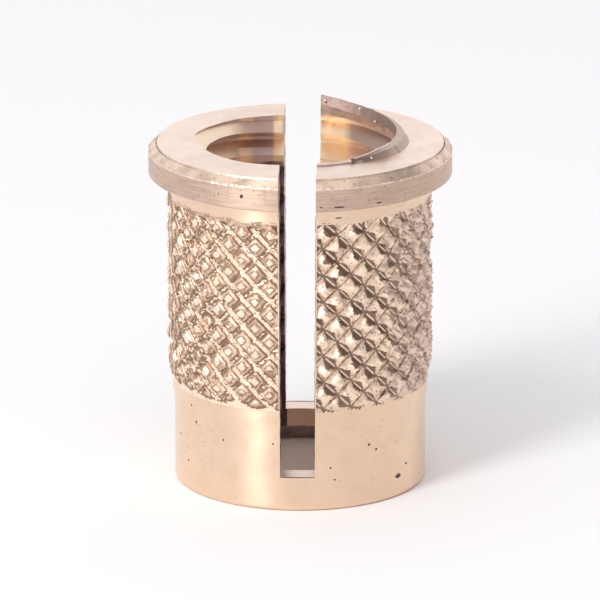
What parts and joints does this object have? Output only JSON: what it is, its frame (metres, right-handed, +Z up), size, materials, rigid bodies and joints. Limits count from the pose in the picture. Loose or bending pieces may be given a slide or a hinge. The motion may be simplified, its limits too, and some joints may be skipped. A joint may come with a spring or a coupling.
{
  "type": "threaded insert",
  "caption": "Flanged brass press-in insert with a diamond-knurled body, plain pilot ring, sawn slot and screw thread in its bore.",
  "frame": {"origin": "centre of the foot, on the surface that the insert stands on", "axes": "+Z up the axis towards the flange, Y along the sawn slot with the front at -Y, X across the slot"},
  "size_m": [0.0096, 0.0096, 0.0117],
  "materials": {
    "brass": "bright turned brass with fine tool marks, freshly knurled"
  },
  "bodies": {
    "root": {"insert_body": "brass"}
  },
  "joints": []
}
